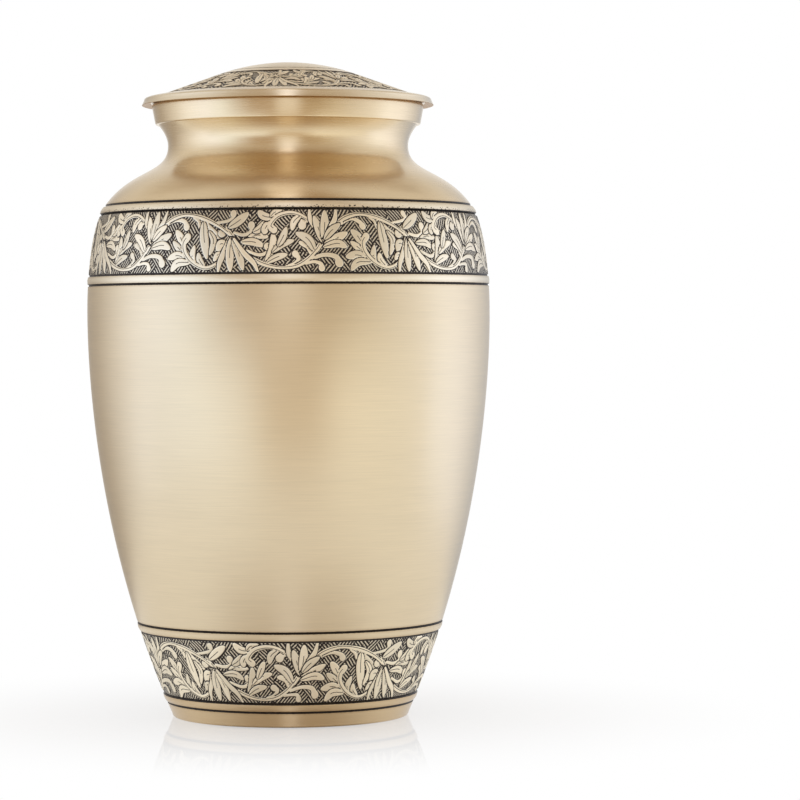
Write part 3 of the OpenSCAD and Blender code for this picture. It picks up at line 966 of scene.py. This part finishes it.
# higher up, the cloth turns dimmer, and warm above the lens; the stripe over the lens goes on up
turned = np.abs(np.degrees(angles))[None, :, None]
facing = np.clip((95 - turned) / 50, 0, 1)
upper = np.array([0.85, 0.82, 0.78]) * (1 - facing) + np.array([0.66, 0.58, 0.49]) * facing
flanks = np.clip((turned - 60) / 15, 0, 1) * np.clip((130 - turned) / 15, 0, 1)
crown_of_tent = np.array([0.84, 0.8, 0.76]) * flanks + np.array([0.42, 0.30, 0.18]) * (1 - flanks)
up_share = np.array([0, 0, 0, 0.1, 0.5, 0.9, 0.9, 0.9, 0.9])[:, None, None]
crown_share = np.array([0, 0, 0, 0, 0, 0, 0.6, 1, 1])[:, None, None]
cloth = colours_round(tent_levels, angles)[None] * (1 - up_share) + upper * up_share
cloth = cloth * (1 - crown_share) + crown_of_tent * crown_share
stripe_share = np.array([0, 0, 0, 0.2, 0.8, 1.1, 0.9, 0.8, 0])[:, None, None]
cloth = cloth + np.exp(-(turned / 8) ** 2) * np.array([0.6, 0.68, 0.9]) * stripe_share
tent = glowing_sheet("light_tent", points, cloth, True)

# a low white card curves round the front of the table and lights the body from below the lens
card_levels = [
    (-80, (1.1, 1.2, 1.4)), (-45, (1.35, 1.5, 1.75)), (-24, (1.3, 1.4, 1.55)), (-9, (0.75, 0.62, 0.46)),
    (11, (0.72, 0.58, 0.42)), (28, (1.3, 1.3, 1.25)), (50, (1.2, 1.2, 1.15)), (80, (1.1, 1.1, 1.1))]
card_r = 0.42
angles = np.radians(np.linspace(-80, 80, 81))
card_z = np.array([0.0, 0.04, 0.08, 0.12])[:, None]
points = np.stack([card_r * np.sin(angles) + 0 * card_z, -card_r * np.cos(angles) + 0 * card_z,
                   card_z + 0 * angles], axis=-1)
cloth = np.repeat(colours_round(card_levels, angles)[None], len(card_z), axis=0)
card = glowing_sheet("low_card", points, cloth, False)

# a narrow softbox overhead, in line with the lens, lights the tops of the shoulder and the lid
softbox_data = bpy.data.lights.new("overhead_softbox", "AREA")
softbox_data.shape = "RECTANGLE"
softbox_data.size = 0.24
softbox_data.size_y = 1.2
softbox_data.energy = 0.5
softbox = bpy.data.objects.new("overhead_softbox", softbox_data)
bpy.context.scene.collection.objects.link(softbox)
softbox.location = (-0.03, -0.5, 1.25)
softbox.visible_camera = False

world = bpy.data.worlds.new("studio")
bpy.context.scene.world = world
world.use_nodes = True
tree = world.node_tree
tree.nodes.clear()
seen = lens_rays(tree)[1]
sky = new_node(tree, "ShaderNodeBackground", Color=(1, 1, 1, 1), Strength=ramp(tree, seen, 0, 1, 0.8, 1.0))
tree.links.new(sky.outputs[0], new_node(tree, "ShaderNodeOutputWorld").inputs["Surface"])

lens = 150.2
eye = (0.0, -1.3098, 0.1509)
turn_right = 1.9
look_down = 1.207
roll = -0.214
camera_data = bpy.data.cameras.new("camera")
camera_data.lens = lens
camera_data.sensor_width = 36
camera = bpy.data.objects.new("camera", camera_data)
bpy.context.scene.collection.objects.link(camera)
camera.matrix_world = (Matrix.Translation(eye) @ Matrix.Rotation(math.radians(-turn_right), 4, "Z")
                       @ Matrix.Rotation(math.radians(90 - look_down), 4, "X")
                       @ Matrix.Rotation(math.radians(roll), 4, "Z"))
bpy.context.scene.camera = camera
bpy.context.scene.view_settings.view_transform = "Standard"
